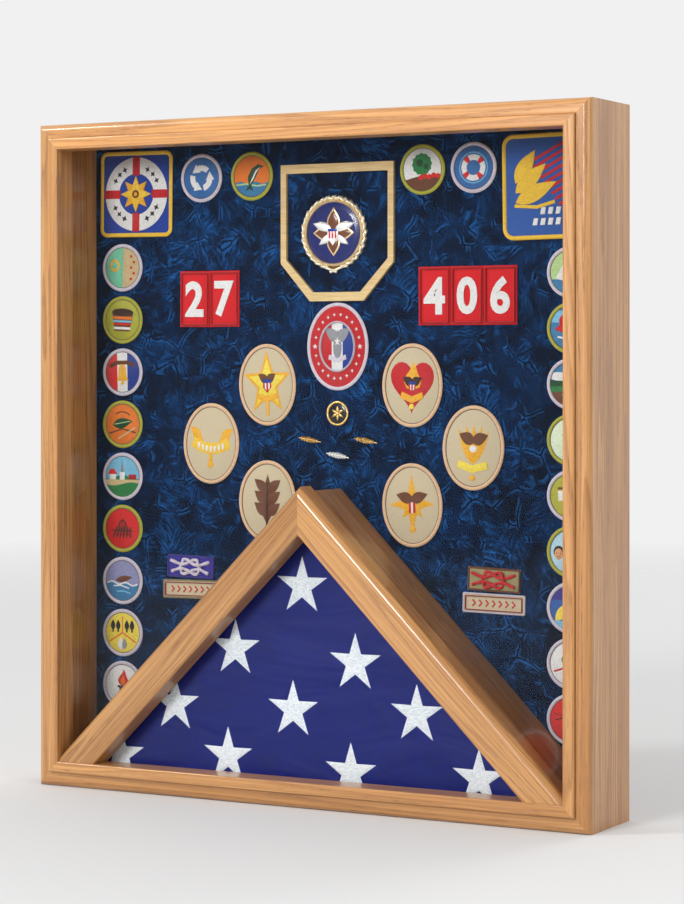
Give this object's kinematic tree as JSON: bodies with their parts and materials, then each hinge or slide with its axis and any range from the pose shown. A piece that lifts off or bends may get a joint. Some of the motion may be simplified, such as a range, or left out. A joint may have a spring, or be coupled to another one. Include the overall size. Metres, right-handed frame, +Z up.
{
  "type": "folded flag display case",
  "caption": "Glazed oak box with a mitred frame, a velvet board for patches and pins, a triangular compartment for a folded flag, turn buttons and hanging rings at the back.",
  "frame": {"origin": "middle of the bounding box in X and Y, on the surface that the case stands on", "axes": "+X to the viewer's right, +Y from the glass to the back, +Z up"},
  "size_m": [0.484, 0.081, 0.532],
  "materials": {
    "oak": "satin",
    "oak_inside": "satin",
    "clear_glass": "gloss",
    "flag_cloth": "matte",
    "velvet": "sheen",
    "hardboard": "matte",
    "panel_board": "matte",
    "turn_metal": "brushed",
    "screw_metal": "satin",
    "hanger_metal": "satin",
    "bumper_rubber": "matte",
    "mat_gold": "satin",
    "wreath_gold": "polished",
    "disc_enamel": "gloss",
    "patch_blue": "thread",
    "badge_thread": "thread",
    "number_red": "thread",
    "centre_red": "thread",
    "oval_tan": "twill",
    "knot_purple": "thread",
    "knot_olive": "thread",
    "strip_tan": "twill",
    "pin_metal": "antique"
  },
  "bodies": {
    "case": {"top_wall": "oak", "bottom_wall": "oak", "left_wall": "oak", "right_wall": "oak", "top_lip": "oak", "bottom_lip": "oak", "left_lip": "oak", "right_lip": "oak", "left_flag_moulding": "oak", "right_flag_moulding": "oak", "left_flag_board": "oak", "right_flag_board": "oak", "top_glass_stop": "oak_inside", "left_glass_stop": "oak_inside", "right_glass_stop": "oak_inside", "glass_pane": "clear_glass", "folded_flag": "flag_cloth", "velvet_cover": "velvet", "display_board": "hardboard", "back_panel": "panel_board", "turn_button_screws": "screw_metal", "left_hanger_strap": "hanger_metal", "right_hanger_strap": "hanger_metal", "hanger_screws": "screw_metal", "wall_bumpers": "bumper_rubber", "corner_nails": "screw_metal", "lip_brads": "screw_metal", "shield_mat": "mat_gold", "medallion_wreath": "wreath_gold", "medallion_disc": "disc_enamel", "left_square_patch": "patch_blue", "right_square_patch": "patch_blue", "top_badges": "badge_thread", "left_badges": "badge_thread", "right_badges": "badge_thread", "left_number_tiles": "number_red", "right_number_tiles": "number_red", "centre_badge": "centre_red", "oval_patch_1": "oval_tan", "oval_patch_2": "oval_tan", "oval_patch_3": "oval_tan", "oval_patch_4": "oval_tan", "oval_patch_5": "oval_tan", "oval_patch_6": "oval_tan", "left_knot_patch": "knot_purple", "left_strip_patch": "strip_tan", "right_knot_patch": "knot_olive", "right_strip_patch": "strip_tan", "round_pin": "pin_metal", "leaf_pins": "pin_metal"},
    "turn_button_1": {"turn_button_1": "turn_metal"},
    "turn_button_2": {"turn_button_2": "turn_metal"},
    "turn_button_3": {"turn_button_3": "turn_metal"},
    "turn_button_4": {"turn_button_4": "turn_metal"},
    "turn_button_5": {"turn_button_5": "turn_metal"},
    "turn_button_6": {"turn_button_6": "turn_metal"},
    "left_hanger_ring": {"left_hanger_ring": "hanger_metal"},
    "right_hanger_ring": {"right_hanger_ring": "hanger_metal"}
  },
  "joints": [
    {"name": "turn_button_1_pivot", "type": "hinge", "parent": "case", "child": "turn_button_1", "pos_m": [-0.23775, 0.0358, 0.386], "axis": [0, 1, 0], "continuous": true},
    {"name": "turn_button_2_pivot", "type": "hinge", "parent": "case", "child": "turn_button_2", "pos_m": [-0.23775, 0.0358, 0.128], "axis": [0, 1, 0], "continuous": true},
    {"name": "turn_button_3_pivot", "type": "hinge", "parent": "case", "child": "turn_button_3", "pos_m": [0.23775, 0.0358, 0.386], "axis": [0, 1, 0], "continuous": true},
    {"name": "turn_button_4_pivot", "type": "hinge", "parent": "case", "child": "turn_button_4", "pos_m": [0.23775, 0.0358, 0.128], "axis": [0, 1, 0], "continuous": true},
    {"name": "turn_button_5_pivot", "type": "hinge", "parent": "case", "child": "turn_button_5", "pos_m": [0, 0.0358, 0.52775], "axis": [0, 1, 0], "continuous": true},
    {"name": "turn_button_6_pivot", "type": "hinge", "parent": "case", "child": "turn_button_6", "pos_m": [0, 0.0358, 0.00425], "axis": [0, 1, 0], "continuous": true},
    {"name": "left_ring_hinge", "type": "hinge", "parent": "case", "child": "left_hanger_ring", "pos_m": [-0.2359, 0.0375, 0.444], "axis": [1, 0, 0], "range_deg": [0, 180]},
    {"name": "right_ring_hinge", "type": "hinge", "parent": "case", "child": "right_hanger_ring", "pos_m": [0.2359, 0.0375, 0.444], "axis": [1, 0, 0], "range_deg": [0, 180]}
  ]
}
